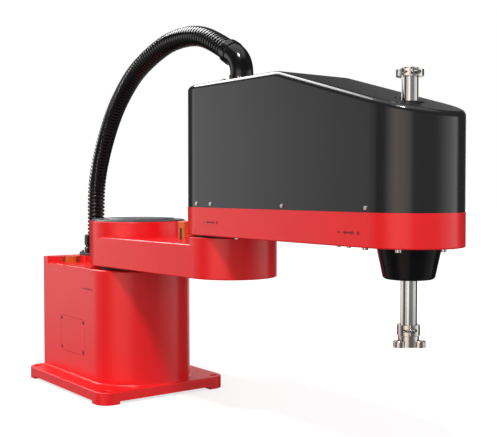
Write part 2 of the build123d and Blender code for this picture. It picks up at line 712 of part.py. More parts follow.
def head_outline(radius):
    return pill(J2_X, radius, J3_X, radius)


def housing_seats():
    """Screws that hold the spline nut's housing, heads below the head."""
    places = circle_of(HOUSING_SCREW_COUNT, HOUSING_PITCH_R, J3_X)
    return [seat(x, y, HEAD_BOTTOM, (0, 0, -1)) for x, y in places]


def underside_seats():
    ahead, aside = UNDERSIDE_SCREW_AHEAD_OF_J2
    places = [(J2_X + ahead, aside)] + [(J3_X - x, y) for x, y in UNDERSIDE_SCREWS_BEHIND_J3]
    return [seat(x, side * y, HEAD_BOTTOM, (0, 0, -1)) for x, y in places for side in (-1, 1)]


def cover_seats():
    places = [J2_X + x for x in COVER_SCREWS_AHEAD_OF_J2] + [J3_X - COVER_SCREW_BEHIND_J3]
    height = BAND_TOP + COVER_SCREW_RISE
    return [seat(x, side * COVER_R, height, (0, side, 0)) for x in places for side in (-1, 1)]


def plate_bosses():
    """Centres of the four pillars under the roll motor's plate."""
    offset = PLATE_BOSS_OFFSET
    return [(ROLL_MOTOR_X + i * offset, j * offset) for i in (-1, 1) for j in (-1, 1)]


def post_places():
    """Centres of the four posts under the lift drive's plate."""
    rear, front = J3_X - DRIVE_PLATE_REACH - POST_SPREAD, J3_X + POST_SPREAD
    return [(x, y) for x in (rear, front) for y in (-POST_Y, POST_Y)]


def outer_arm_casting():
    body = prism(head_outline(HEAD_R), HEAD_BOTTOM, BAND_TOP)
    body = fillet(bottom_edges(body), HEAD_FILLET)
    lip_r = COVER_R - COVER_WALL - FIT
    body += prism(head_outline(lip_r), BAND_TOP - 1, LIP_TOP)
    body -= prism(head_outline(TRAY_R), FLOOR_TOP, LIP_TOP + 1)

    for side in (-1, 1):
        length = J3_X - J2_X - J2_MOTOR_SIDE - BEARING_R
        x = J2_X + J2_MOTOR_SIDE / 2 + length / 2
        body += slab(x, side * HEAD_RIB_Y, length, HEAD_RIB, FLOOR_TOP - 1, FLOOR_TOP + HEAD_RIB_HEIGHT)
    body += [rod(PLATE_BOSS_R, FLOOR_TOP - 1, MOTOR_PLATE_Z, x, y) for x, y in plate_bosses()]
    body += rod(SNOUT_R, SNOUT_BOTTOM, FLOOR_TOP + BEARING_WIDTH, J3_X)

    body -= rod(BEARING_R - BEARING_LEDGE, SNOUT_BOTTOM - 1, FLOOR_TOP + BEARING_WIDTH + 1, J3_X)
    for low in bearing_lows():
        body -= rod(BEARING_R, low, low + BEARING_WIDTH, J3_X)
    body -= rod(CABLE_BORE_R / 2, HEAD_BOTTOM - 1, FLOOR_TOP + 1, J2_X)
    body -= holes(housing_seats(), M6, HEAD_FLOOR - 2)
    body -= holes(underside_seats(), M4, HEAD_FLOOR - 2)
    body -= holes(cover_seats(), M4, COVER_WALL + HEAD_WALL)
    body -= mark(J2_X, -HEAD_R, HEAD_BOTTOM - 1, HEAD_BOTTOM + MARK_LENGTH)
    return body


def bearing_lows():
    """The heights at which the two spline-nut bearings start."""
    return (SNOUT_BOTTOM, FLOOR_TOP)


def cover_form(inset):
    """The cover's outer form, or with an inset its hollow: it drops toward the tool end."""
    radius, top = COVER_R - inset, COVER_TOP - inset
    low = BAND_TOP - (1 if inset else 0)
    slope = math.radians(COVER_SLOPE_DEG)
    ridge = RIDGE_X - inset * math.tan(slope / 2)
    rear, front = J2_X - radius - 1, J3_X + radius + 1
    nose = top - (front - ridge) * math.tan(slope)
    profile = Line((rear, top), (ridge, top)) + Line((ridge, top), (front, nose))
    profile = fillet(profile.vertices().filter_by_position(Axis.X, ridge - 1, ridge + 1), COVER_RIDGE_R - inset)
    profile += Polyline((front, nose), (front, low), (rear, low), (rear, top))
    side = extrude(Plane.XZ * make_face(profile), radius + 1, both=True)
    form = prism(head_outline(radius), low, top + 1) & side
    rim = [e for e in form.edges() if e.center().Z > BAND_TOP + 50 and not is_upright(e) and on_wall(e, radius)]
    return fillet(rim, COVER_FILLET - inset)


def is_upright(edge):
    return abs((edge @ 1 - edge @ 0).normalized().Z) > 0.99


def on_wall(edge, radius):
    """Whether an edge runs round the cover's side wall, not across its top."""
    middle = edge @ 0.5
    x = min(max(middle.X, J2_X), J3_X)
    return math.hypot(middle.X - x, middle.Y) > radius - 1


def head_cover():
    """The moulded hood: an even wall, a well round the shaft, ribs and screw holes."""
    cover = cover_form(0)
    hollow = cover_form(COVER_WALL) - rod(WELL_R + COVER_WALL, WELL_FLOOR - COVER_WALL, COVER_TOP, J3_X)
    step = OUTER_REACH / (COVER_RIB_COUNT + 1)
    inner = head_outline(COVER_R - COVER_WALL - COVER_RIB_DEPTH)
    for i in range(COVER_RIB_COUNT):
        rib = slab(J2_X + (i + 1) * step, 0, COVER_RIB, 2 * COVER_R, LIP_TOP + 1, COVER_TOP)
        hollow -= rib - prism(inner, LIP_TOP, COVER_TOP)
    cover -= hollow
    cover -= rod(WELL_R, WELL_FLOOR, COVER_TOP, J3_X)
    cover -= rod(SHAFT_R + WELL_CLEARANCE, WELL_FLOOR - COVER_WALL - 1, WELL_FLOOR + 1, J3_X)
    cover -= rod(CABLE_HOLE_R, COVER_TOP - COVER_WALL - 1, COVER_TOP + 1, ELBOW_X)
    cover -= holes(gland_seats(ELBOW_X, COVER_TOP), M5, GLAND_THICKNESS + COVER_WALL + 1)
    return cover - holes(cover_seats(), M4, COVER_WALL + 1)


def nose_cone():
    """The moulded cone that hides the spline nut's housing."""
    top, floor = HEAD_BOTTOM, CONE_BOTTOM + CONE_WALL
    outer = turned([(0, CONE_BOTTOM), (CONE_BOTTOM_R, CONE_BOTTOM), (CONE_TOP_R, top), (0, top)], J3_X)
    outer = fillet(bottom_edges(outer), CONE_FILLET)
    slope = (CONE_TOP_R - CONE_BOTTOM_R) / (top - CONE_BOTTOM)
    low_r, high_r = CONE_BOTTOM_R + slope * CONE_WALL - CONE_WALL, CONE_TOP_R - CONE_WALL
    hollow = turned([(0, floor), (low_r, floor), (high_r, top), (high_r, top + 1), (0, top + 1)], J3_X)
    return outer - hollow - rod(CONE_MOUTH_R, CONE_BOTTOM - 1, floor + 1, J3_X)


def spline_nut():
    low, high = SNOUT_BOTTOM - NUT_OVERHANG, ROLL_BELT_Z + PULLEY_WIDTH + NUT_OVERHANG
    bore, wide = SHAFT_R + RUNNING, SPLINE_NUT_R + SPLINE_NUT_SHOULDER
    shoulder = FLOOR_TOP + BEARING_WIDTH + JOINT_GAP
    return turned([(bore, low), (SPLINE_NUT_R, low), (SPLINE_NUT_R, shoulder), (wide, shoulder),
                   (wide, ROLL_BELT_Z), (SPLINE_NUT_R, ROLL_BELT_Z), (SPLINE_NUT_R, high), (bore, high)], J3_X)


def ball_nut():
    low, high = BALL_NUT_BOTTOM, DRIVE_PLATE_Z + DRIVE_PLATE_THICKNESS + 2 * NUT_OVERHANG
    bore, wide, rim = SHAFT_R + RUNNING, BALL_NUT_R + BALL_NUT_RIM, low + BALL_NUT_RIM_HEIGHT
    return turned([(bore, low), (wide, low), (wide, rim), (BALL_NUT_R, rim),
                   (BALL_NUT_R, high), (bore, high)], J3_X)


def spline_bearings():
    bore = SPLINE_NUT_R + RUNNING
    return Compound(children=[ring(BEARING_R, bore, low, low + BEARING_WIDTH, J3_X) for low in bearing_lows()])


def motor_rotor(teeth, x, belt_z, face):
    """A motor's shaft with its belt pulley."""
    shaft = rod(MOTOR_SHAFT_R, belt_z - MOTOR_SHAFT_TIP, face - JOINT_GAP, x)
    return Compound(children=[shaft, pulley(teeth, MOTOR_SHAFT_R, belt_z, x)])


def roll_motor_plate():
    low, high = MOTOR_PLATE_Z, MOTOR_PLATE_Z + MOTOR_PLATE_THICKNESS
    plate = slab(ROLL_MOTOR_X, 0, MOTOR_PLATE_SIDE, MOTOR_PLATE_SIDE, low, high, MOTOR_PLATE_CORNER)
    return plate - rod(MOTOR_SHAFT_R + MOTOR_SHAFT_PLAY, low - 1, high + 1, ROLL_MOTOR_X)


def drive_plate():
    top = DRIVE_PLATE_Z + DRIVE_PLATE_THICKNESS
    plate = prism(pill(J3_X - DRIVE_PLATE_REACH, DRIVE_PLATE_R, J3_X, DRIVE_PLATE_R), DRIVE_PLATE_Z, top)
    plate -= rod(LIFT_BEARING_R, DRIVE_PLATE_Z - 1, top + 1, J3_X)
    return plate - rod(MOTOR_SHAFT_R + MOTOR_SHAFT_PLAY, DRIVE_PLATE_Z - 1, top + 1, LIFT_MOTOR_X)


def drive_posts():
    return Compound(children=[rod(POST_R, FLOOR_TOP, DRIVE_PLATE_Z, x, y) for x, y in post_places()])


def shaft():
    section = Circle(SHAFT_R) - Circle(SHAFT_BORE_R)
    section -= [Pos(x, y) * Circle(SHAFT_GROOVE_R) for x, y in circle_of(SHAFT_GROOVE_COUNT, SHAFT_R, 0)]
    return Pos(J3_X, 0, FLANGE_BOTTOM) * extrude(section, SHAFT_TOP - FLANGE_BOTTOM)


def clamp_ring(radius, low, height):
    """A split clamping collar, its slit turned about the shaft, with a counterbore for its screw."""
    body = rod(radius, 0, height) - rod(SHAFT_R, -1, height + 1)
    body -= Pos(radius, 0, height / 2) * Box(2 * radius, CLAMP_SLIT, 2 * height)
    for place in clamp_seats(radius, height):
        body -= place * rod(0.75 * M4 + SCREW_PLAY, 0, radius)
        body -= place * rod(M4 / 2 + SCREW_PLAY, -radius, 0)
    return Pos(J3_X, 0, low) * Rot(0, 0, CLAMP_SLIT_TURN_DEG) * body


def clamp_seats(radius, height):
    """Where a clamp's screw seats: beside the slit, halfway out through the wall."""
    x = (SHAFT_R + radius) / 2 + M4 / 4
    return [seat(x, CLAMP_SLIT / 2 + CLAMP_SCREW_LAND, height / 2, (0, 1, 0))]


def clamp_screws():
    screws = []
    for radius, low, height in ((CLAMP_R, CLAMP_TOP - CLAMP_HEIGHT, CLAMP_HEIGHT),
                                (COLLAR_R, COLLAR_BOTTOM, COLLAR_HEIGHT)):
        place = Pos(J3_X, 0, low) * Rot(0, 0, CLAMP_SLIT_TURN_DEG)
        grip = 2 * CLAMP_SCREW_LAND + CLAMP_SLIT
        screws += [place * screw for screw in cap_screws(clamp_seats(radius, height), M4, grip)]
    return Compound(children=screws)


def tool_flange():
    """The three-lobed tool flange with its hub, bored to fit on the shaft."""
    outline = Circle(FLANGE_HUB_R)
    lobes = circle_of(FLANGE_LOBE_COUNT, FLANGE_LOBE_PITCH_R, 0, turn=FLANGE_TURN_DEG)
    for x, y in lobes:
        outline += Pos(x, y) * Circle(FLANGE_LOBE_R)
    plate = extrude(outline, FLANGE_THICKNESS)
    plate = fillet(top_edges(plate), FLANGE_FILLET)
    plate += rod(FLANGE_HUB_R, 0, FLANGE_THICKNESS + FLANGE_HUB_HEIGHT)
    plate -= rod(SHAFT_R, -1, FLANGE_THICKNESS + FLANGE_HUB_HEIGHT + 1)
    plate -= [rod(FLANGE_HOLE_R, -1, FLANGE_THICKNESS + 1, x, y) for x, y in lobes]
    return Pos(J3_X, 0, FLANGE_BOTTOM) * plate


def gland_seats(x, base_z):
    half = GLAND_SIDE / 2 - GLAND_SCREW_INSET
    return corner_seats(x, 0, base_z + GLAND_THICKNESS, half, half)


def gland_flange(x, base_z):
    """A square flange that holds a conduit gland down."""
    flange = slab(x, 0, GLAND_SIDE, GLAND_SIDE, base_z, base_z + GLAND_THICKNESS, GLAND_CORNER)
    flange = fillet(top_edges(flange), GLAND_EDGE)
    flange -= rod(CABLE_HOLE_R, base_z - 1, base_z + GLAND_THICKNESS + 1, x)
    return flange - holes(gland_seats(x, base_z), M5, GLAND_THICKNESS + 1)


def base_gland():
    """The straight gland nut at the conduit's lower end, grooved for grip."""
    low, high = PLATFORM_TOP + GLAND_THICKNESS, GLAND_MOUTH_Z
    outer, waist = GLAND_BODY_R, GLAND_BODY_R - GLAND_GROOVE_DEPTH
    groove = low + GLAND_GROOVE_RISE
    groove_end = groove + GLAND_GROOVE_WIDTH + 2 * GLAND_BEVEL
    return turned([(CABLE_HOLE_R, low), (outer - GLAND_BEVEL, low), (outer, low + GLAND_BEVEL), (outer, groove),
                   (waist, groove + GLAND_BEVEL), (waist, groove_end - GLAND_BEVEL), (outer, groove_end),
                   (outer, high - GLAND_TOP_BEVEL), (waist, high), (CABLE_HOLE_R, high)], GLAND_X)


def head_elbow():
    """The swept elbow at the conduit's upper end, with its nut."""
    before, tip = [Vector(*point) for point in conduit_points(UPPER_ROUTE[-2:])]
    out = (before - tip).normalized()
    base = COVER_TOP + GLAND_THICKNESS
    corner_z = tip.Z + (tip.X - ELBOW_X) * out.Z / -out.X
    path = FilletPolyline((ELBOW_X, 0, base), (ELBOW_X, 0, corner_z), tuple(tip), radius=ELBOW_BEND_R)
    section = Plane(origin=(ELBOW_X, 0, base), z_dir=(0, 0, 1))
    elbow = sweep(section * Circle(ELBOW_R), path=path)
    nut = extrude(Plane(origin=tip, z_dir=-out) * Circle(ELBOW_NUT_R), ELBOW_NUT_LENGTH)
    foot = rod(ELBOW_NUT_R, base, base + ELBOW_FOOT_HEIGHT, ELBOW_X)
    return elbow + chamfer(nut.edges(), ELBOW_EDGE) + foot


def conduit_points(route):
    """A route's points, shared out between the two glands wherever those stand."""
    first, last = LOWER_ROUTE[0], UPPER_ROUTE[-1]
    points = []
    for x, z in route:
        share = (x - first[0]) / (last[0] - first[0])
        shift = (1 - share) * (GLAND_MOUTH_Z - first[1]) + share * (ELBOW_MOUTH_Z - last[1])
        points.append((GLAND_X + share * (ELBOW_MOUTH_X - GLAND_X), 0, z + shift))
    return points


def corner_radii(points):
    """Bend radii as large as each corner's two runs allow."""
    radii = []
    for a, b, c in zip(points, points[1:], points[2:]):
        into, out = Vector(*b) - Vector(*a), Vector(*c) - Vector(*b)
        half_turn = math.radians(into.get_angle(out)) / 2
        radii.append(0.45 * min(into.length, out.length) / math.tan(half_turn))
    return radii


def conduit(name, route):
    """A plain tube along straight runs and tangent arcs."""
    points = conduit_points(route)
    radii = corner_radii(points)
    path = FilletPolyline(*points, radius=radii)
    start = Plane(origin=path @ 0, z_dir=path % 0)
    tube = sweep(start * Circle(CONDUIT_R), path=path)
    expected = math.pi * CONDUIT_R ** 2 * path.length
    print(name, "length", round(path.length, 1), "radii", [round(r) for r in radii],
          "volume ratio", round(tube.volume / expected, 4))
    return tube


def build():
    gland_grip = GLAND_THICKNESS + GLAND_SCREW_DEPTH
    wiper_top = WELL_FLOOR + WIPER_THICKNESS
    drive_top = DRIVE_PLATE_Z + DRIVE_PLATE_THICKNESS
    plate_top = MOTOR_PLATE_Z + MOTOR_PLATE_THICKNESS
    base = {
        "base_casting": base_casting(),
        "side_cover": side_cover(),
        "side_cover_screws": button_screws(side_cover_seats(), M4, COLUMN_WALL - 4, sunk=2),
        "rear_panel": rear_panel(),
        "rear_panel_screws": button_screws(panel_seats(), M4, COLUMN_WALL - 2),
        "power_socket": round_socket(-1, POWER_PIN_COUNT),
        "signal_socket": round_socket(1, SIGNAL_PIN_COUNT),
        "air_ports": air_ports(),
        "j1_stop_holders": j1_stop_holders(),
        "j1_stops": j1_stops(),
        "j1_gearbox": j1_gearbox(),
        "j1_motor": j1_motor(),
        "conduit_base_flange": gland_flange(GLAND_X, PLATFORM_TOP),
        "conduit_base_screws": cap_screws(gland_seats(GLAND_X, PLATFORM_TOP), M5, gland_grip),
        "conduit_base_gland": base_gland(),
        "conduit_lower": conduit("conduit_lower", LOWER_ROUTE),
    }
    inner_arm = {
        "inner_arm_casting": inner_arm_casting(),
        "j1_output_flange": j1_output(),
        "j1_output_bolts": cap_screws(j1_bolt_seats(), M8, ARM_FLOOR + 2),
        "shoulder_cap": cap_plate(),
        "shoulder_cap_disc": cap_dome(),
        "shoulder_cap_screws": button_screws(cap_seats(), M4, CAP_THICKNESS),
        "j2_stop_core": j2_stop_core(),
        "j2_stop": j2_stop(),
        "j2_gearbox": j2_gearbox(),
    }
    head = {
        "outer_arm_casting": outer_arm_casting(),
        "head_cover": head_cover(),
        "head_cover_screws": button_screws(cover_seats(), M4, COVER_WALL + 6),
        "j2_output_flange": j2_output(),
        "j2_motor": motor(J2_MOTOR_SIDE, J2_MOTOR_LENGTH, J2_X, FLOOR_TOP),
        "nose_cone": nose_cone(),
        "nose_wiper": ring(CONE_MOUTH_R, SHAFT_R + WIPER_GAP, CONE_BOTTOM + NOSE_WIPER_RECESS,
                           CONE_BOTTOM + CONE_WALL, J3_X),
        "housing_screws": cap_screws(housing_seats(), M6, HEAD_FLOOR - 3),
        "underside_screws": cap_screws(underside_seats(), M4, HEAD_FLOOR - 3),
        "spline_bearings": spline_bearings(),
        "roll_motor_plate": roll_motor_plate(),
        "roll_motor": motor(MOTOR_SIDE, ROLL_MOTOR_LENGTH, ROLL_MOTOR_X, plate_top),
        "roll_belt": belt(ROLL_MOTOR_X, ROLL_MOTOR_TEETH, J3_X, ROLL_NUT_TEETH, ROLL_BELT_Z),
        "drive_posts": drive_posts(),
        "drive_plate": drive_plate(),
        "lift_motor": motor(MOTOR_SIDE, LIFT_MOTOR_LENGTH, LIFT_MOTOR_X, drive_top),
        "lift_belt": belt(LIFT_MOTOR_X, LIFT_MOTOR_TEETH, J3_X, LIFT_NUT_TEETH, LIFT_BELT_Z),
        "lift_bearing": ring(LIFT_BEARING_R, BALL_NUT_R + RUNNING, DRIVE_PLATE_Z, drive_top, J3_X),
        "shaft_wiper": ring(SHAFT_R + WIPER_LIP, SHAFT_R + WIPER_GAP, WELL_FLOOR, wiper_top, J3_X),
        "conduit_head_flange": gland_flange(ELBOW_X, COVER_TOP),
        "conduit_head_screws": cap_screws(gland_seats(ELBOW_X, COVER_TOP), M5, GLAND_THICKNESS + COVER_WALL),
        "conduit_head_elbow": head_elbow(),
        "conduit_upper": conduit("conduit_upper", UPPER_ROUTE),
    }
    tool = {
        "roll_motor_rotor": motor_rotor(ROLL_MOTOR_TEETH, ROLL_MOTOR_X, ROLL_BELT_Z, plate_top),
        "lift_motor_rotor": motor_rotor(LIFT_MOTOR_TEETH, LIFT_MOTOR_X, LIFT_BELT_Z, drive_top),
        "spline_nut": spline_nut(),
        "roll_pulley": pulley(ROLL_NUT_TEETH, SPLINE_NUT_R, ROLL_BELT_Z, J3_X),
        "ball_nut": ball_nut(),
        "lift_pulley": pulley(LIFT_NUT_TEETH, BALL_NUT_R, LIFT_BELT_Z, J3_X),
        "quill_shaft": shaft(),
        "stop_collar": clamp_ring(COLLAR_R, COLLAR_BOTTOM, COLLAR_HEIGHT),
        "tool_clamp": clamp_ring(CLAMP_R, CLAMP_TOP - CLAMP_HEIGHT, CLAMP_HEIGHT),
        "clamp_screws": clamp_screws(),
        "tool_flange": tool_flange(),
    }
    return base | inner_arm | head | tool


os.makedirs("parts", exist_ok=True)
for name, shape in build().items():
    export_step(shape, f"parts/{name}.step")
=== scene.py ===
import json
import math

import bmesh
import bpy
import numpy as np
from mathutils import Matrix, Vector


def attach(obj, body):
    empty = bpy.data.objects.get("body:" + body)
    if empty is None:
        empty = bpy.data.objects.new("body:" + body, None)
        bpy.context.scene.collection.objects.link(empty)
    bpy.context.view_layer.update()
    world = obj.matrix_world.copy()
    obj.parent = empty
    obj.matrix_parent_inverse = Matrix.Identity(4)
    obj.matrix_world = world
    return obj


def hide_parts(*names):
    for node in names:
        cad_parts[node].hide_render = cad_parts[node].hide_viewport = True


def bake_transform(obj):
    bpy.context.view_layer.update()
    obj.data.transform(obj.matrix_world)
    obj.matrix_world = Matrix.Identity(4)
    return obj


# SCARA robot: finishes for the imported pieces, the corrugated conduit, the
# printed axis marks, and a pale studio. Metres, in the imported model's frame.

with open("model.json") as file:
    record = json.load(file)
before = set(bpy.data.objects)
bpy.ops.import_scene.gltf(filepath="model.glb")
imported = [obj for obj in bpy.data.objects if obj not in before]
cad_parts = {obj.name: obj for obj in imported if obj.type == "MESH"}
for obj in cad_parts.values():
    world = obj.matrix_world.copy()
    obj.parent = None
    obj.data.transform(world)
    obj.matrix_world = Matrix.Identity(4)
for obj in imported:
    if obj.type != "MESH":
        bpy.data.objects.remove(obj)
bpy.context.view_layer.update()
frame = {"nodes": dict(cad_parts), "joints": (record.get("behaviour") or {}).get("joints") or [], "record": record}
nodes = frame["nodes"]
joints = {joint["name"]: joint for joint in frame["joints"]}

# The camera stands where the photograph was taken from
CAMERA_PLACE = (1.7756, -0.9707, 0.4386)
CAMERA_ROUND_DEG = 53.266
CAMERA_DOWN_DEG = 1.953
CAMERA_LENS_MM = 64.25
SENSOR_MM = 36.0

# The conduit's routes, as distance ahead of the shoulder axis and height
LOWER_ROUTE = ((-0.202, 0.329), (-0.202, 0.383), (-0.195, 0.463), (-0.158, 0.542),
               (-0.109, 0.612), (-0.054, 0.662), (0.006, 0.701), (0.059, 0.719))
UPPER_ROUTE = ((0.059, 0.719), (0.112, 0.737), (0.185, 0.743), (0.246, 0.738),
               (0.301, 0.718), (0.343, 0.696))
CONDUIT_DIAMETER = 0.040
CONDUIT_PITCH = 0.0087
CONDUIT_GROOVE = 0.0046
CREST_SHARE = 0.5
CONDUIT_SIDES = 48
STATIONS_PER_RING = 12
CURVE_STEPS = 32

# Printed axis marks on the side towards the camera: the body, the joint axis
# and how far ahead of it the mark's middle is, the wall's distance from the
# arms' middle plane, height and length
MARKS = (
    ("mark_shoulder", "base", "j1_shoulder", -0.0264, 0.112, 0.222, 0.050),
    ("mark_elbow", "outer_arm", "j2_elbow", 0.0503, 0.0815, 0.378, 0.046),
    ("mark_tool", "outer_arm", "j4_roll", -0.0430, 0.0815, 0.374, 0.046),
)
MARK_RAISED = 0.0002
MARK_STROKE = 0.0021
MARK_SIGN = 2.6 * MARK_STROKE
ARROW_HALF_WIDTH = MARK_SIGN / 1.6

# Fine noise gives each surface its grain, and broad noise its uneven shade,
# both in cells per metre. Most noise values lie between NOISE_LOW and NOISE_HIGH.
FINE_CELLS = 1200.0
FINE_DETAIL = 2.0
BROAD_CELLS = 7.0
BROAD_DETAIL = 4.0
NOISE_LOW = 0.3
NOISE_HIGH = 0.7
GRAIN_DEPTH = 0.00001
SMOOTH_DEPTH = 0.000001
SHADE_UNEVEN = 0.04
GLOSS_UNEVEN = 0.08

# Light: an even dome for matt surfaces, and a key lamp high on the camera's side
WHITE = (1, 1, 1, 1)
DOME_LEVEL = 0.84
KEY_LEVEL = 2.2
KEY_FROM = (0.75, -1.0, 2.2)
KEY_SPREAD_DEG = 9.0
KEY_GLOSS = 0.15
FLOOR_HALF_WIDTH = 14.0
FLOOR_SHADE = 0.36
FLOOR_GLOW = 0.72
FLOOR_ROUGHNESS = 0.9

# What glossy surfaces see, as (angle in degrees, level) stops. HORIZON is the
# wall of panels by bearing from +X, and BAND how it fades by elevation. WARM is
# where it turns amber, by the share WARM_LOSS of red, green and blue that goes.
# OVERHEAD is the ceiling. The edge panel, high behind the robot, by bearing and
# by elevation, lights the cover's upper edges.
HORIZON = ((-180, 0.05), (-165, 0.05), (-158, 1.15), (-147, 1.25), (-135, 0.48), (-124, 0.40),
           (-117, 0.03), (-101, 0.08), (-90, 0.90), (-76, 2.0), (-62, 1.7), (-46, 1.0), (-39, 0.20),
           (2, 0.18), (14, 0.35), (32, 1.0), (62, 1.6), (70, 0.05), (112, 0.03), (122, 1.1),
           (152, 0.8), (162, 0.05), (180, 0.05))
BAND = ((-90, 0.12), (-20, 0.15), (-12, 0.3), (-7, 0.95), (3, 1.0), (9, 0.9), (15, 0.05), (90, 0.0))
WARM = ((-180, 0.0), (-104, 0.0), (-80, 1.0), (-66, 1.0), (-48, 0.0), (180, 0.0))
WARM_LOSS = (0.0, 0.18, 0.32)
OVERHEAD = ((-90, 0.0), (50, 0.02), (60, 0.9), (90, 0.9))
EDGE_PANEL_ROUND = ((-180, 10.0), (-154, 10.0), (-149, 0.0), (158, 0.0), (163, 10.0), (180, 10.0))
EDGE_PANEL_UP = ((-90, 0.0), (28, 0.0), (30, 1.0), (57, 1.0), (60, 0.0), (90, 0.0))


def joint_x(name):
    """How far ahead of the origin a joint's axis stands."""
    return joints[name]["pos_m"][0]


def new_material(name):
    """A material with its node tree and its own Principled shader."""
    material = bpy.data.materials.new(name)
    material.use_nodes = True
    return material, material.node_tree, material.node_tree.nodes["Principled BSDF"]


def set_inputs(node, values):
    """Sets a shader node's inputs by name."""
    for name, value in values.items():
        node.inputs[name].default_value = value


def add(tree, kind, inputs=None):
    """A new shader node, with these inputs set."""
    node = tree.nodes.new(kind)
    set_inputs(node, inputs or {})
    return node


def noise(tree, cells, detail, stretch=(1, 1, 1)):
    """A noise value between 0 and 1 over the piece; a small stretch draws it out along that axis."""
    place = add(tree, "ShaderNodeTexCoord")
    mapping = add(tree, "ShaderNodeMapping", {"Scale": stretch})
    texture = add(tree, "ShaderNodeTexNoise", {"Scale": cells, "Detail": detail})
    tree.links.new(place.outputs["Object"], mapping.inputs["Vector"])
    tree.links.new(mapping.outputs["Vector"], texture.inputs["Vector"])
    return texture.outputs["Fac"]


def spread(tree, value, low, high):
    """The noise value spread between two numbers."""
    out = add(tree, "ShaderNodeMapRange", {"From Min": NOISE_LOW, "From Max": NOISE_HIGH,
                                           "To Min": low, "To Max": high})
    tree.links.new(value, out.inputs["Value"])
    return out.outputs["Result"]


def shades(tree, value, dark, light):
    """A colour between two shades, by the noise value."""
    ramp = add(tree, "ShaderNodeValToRGB")
    first, last = ramp.color_ramp.elements
    first.position = NOISE_LOW
    first.color = (*dark, 1)
    last.position = NOISE_HIGH
    last.color = (*light, 1)
    tree.links.new(value, ramp.inputs["Fac"])
    return ramp.outputs["Color"]


def bump(tree, shader, value, depth):
    """Raises the surface by the noise value, up to depth metres."""
    node = add(tree, "ShaderNodeBump", {"Strength": 1.0, "Distance": depth})
    tree.links.new(value, node.inputs["Height"])
    tree.links.new(node.outputs["Normal"], shader.inputs["Normal"])


def tint(colour, factor):
    """The colour made lighter or darker by a factor."""
    return tuple(min(1.0, channel * factor) for channel in colour)


def finish(name, colour, roughness, metallic=0.0, cells=FINE_CELLS, depth=GRAIN_DEPTH,
           uneven=SHADE_UNEVEN, stretch=(1, 1, 1)):
    """A surface with a fine grain, slightly uneven shade and slightly uneven gloss."""
    material, tree, shader = new_material(name)
    set_inputs(shader, {"Metallic": metallic})
    broad = noise(tree, BROAD_CELLS, BROAD_DETAIL)
    colours = shades(tree, broad, tint(colour, 1 - uneven), tint(colour, 1 + uneven))
    tree.links.new(colours, shader.inputs["Base Color"])
    fine = noise(tree, cells, FINE_DETAIL, stretch)
    gloss = spread(tree, fine, roughness * (1 - GLOSS_UNEVEN), roughness * (1 + GLOSS_UNEVEN))
    tree.links.new(gloss, shader.inputs["Roughness"])
    bump(tree, shader, fine, depth)
    return material


# The looks of the record's material slots, then the marks' ink, a darker steel that paints
# shade onto pieces in narrow gaps and recesses, and a dark amber for the stops' holders
LOOKS = {
    "red_paint": dict(colour=(0.78, 0.010, 0.013), roughness=0.25, cells=700.0, depth=SMOOTH_DEPTH),
    "black_cover": dict(colour=(0.016, 0.016, 0.017), roughness=0.15, cells=1500.0, depth=SMOOTH_DEPTH),
    "black_plastic": dict(colour=(0.007, 0.007, 0.008), roughness=0.14, cells=1500.0, depth=SMOOTH_DEPTH),
    "cap_grey": dict(colour=(0.060, 0.066, 0.076), roughness=0.38),
    "stop_orange": dict(colour=(0.58, 0.11, 0.012), roughness=0.25, cells=300.0, uneven=0.15),
    "hose_black": dict(colour=(0.006, 0.006, 0.007), roughness=0.12, cells=1500.0, depth=SMOOTH_DEPTH),
    "rubber": dict(colour=(0.016, 0.016, 0.016), roughness=0.6),
    "panel_grey": dict(colour=(0.10, 0.10, 0.105), roughness=0.45),
    "screw_steel": dict(colour=(0.72, 0.71, 0.69), roughness=0.24, metallic=1.0, cells=3000.0),
    "shaft_steel": dict(colour=(0.92, 0.91, 0.90), roughness=0.06, metallic=1.0, cells=900.0,
                        depth=SMOOTH_DEPTH, stretch=(1, 1, 0.02)),
    "machined_steel": dict(colour=(0.80, 0.76, 0.72), roughness=0.20, metallic=1.0, cells=2500.0,
                           stretch=(0.05, 0.05, 1)),
    "aluminium": dict(colour=(0.72, 0.72, 0.73), roughness=0.35, metallic=1.0, cells=2500.0),
    "motor_black": dict(colour=(0.018, 0.018, 0.019), roughness=0.40),
    "nickel": dict(colour=(0.62, 0.60, 0.55), roughness=0.25, metallic=1.0),
    "mark_ink": dict(colour=(0.20, 0.006, 0.008), roughness=0.45),
    # A darker steel, painted shade, for steel pieces seen only in narrow gaps and recesses
    "painted_shade_steel": dict(colour=(0.055, 0.052, 0.050), roughness=0.45, metallic=0.6),
    "dark_amber": dict(colour=(0.26, 0.055, 0.008), roughness=0.35, cells=300.0),
}
FINISHES = {name: finish(name, **look) for name, look in LOOKS.items()}
# Painted shade: pieces deep in gaps and recesses take the darker steel in place of their slot's finish; the
# shoulder stops' holders take dark amber
SHADED_PIECES = {
    "j1_gearbox": "painted_shade_steel",
    "j1_output_flange": "painted_shade_steel",
    "j2_gearbox": "painted_shade_steel",
    "j2_output_flange": "painted_shade_steel",
    "j2_stop_core": "painted_shade_steel",
    "side_cover_screws": "painted_shade_steel",
    "j1_stop_holders": "dark_amber",
}


def dress_nodes():
    """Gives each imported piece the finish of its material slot, or its darker one."""
    slots = {part["node"]: part["material_slot"] for part in frame["record"]["subparts"]}
    for name, node in nodes.items():
        node.data.materials.clear()
        node.data.materials.append(FINISHES[SHADED_PIECES.get(name, slots[name])])


def new_piece(name, mesh, material):
    """A mesh object made from a bmesh, with its material."""
    data = bpy.data.meshes.new(name)
    mesh.to_mesh(data)
    mesh.free()
    piece = bpy.data.objects.new(name, data)
    bpy.context.scene.collection.objects.link(piece)
    data.materials.append(material)
    return piece


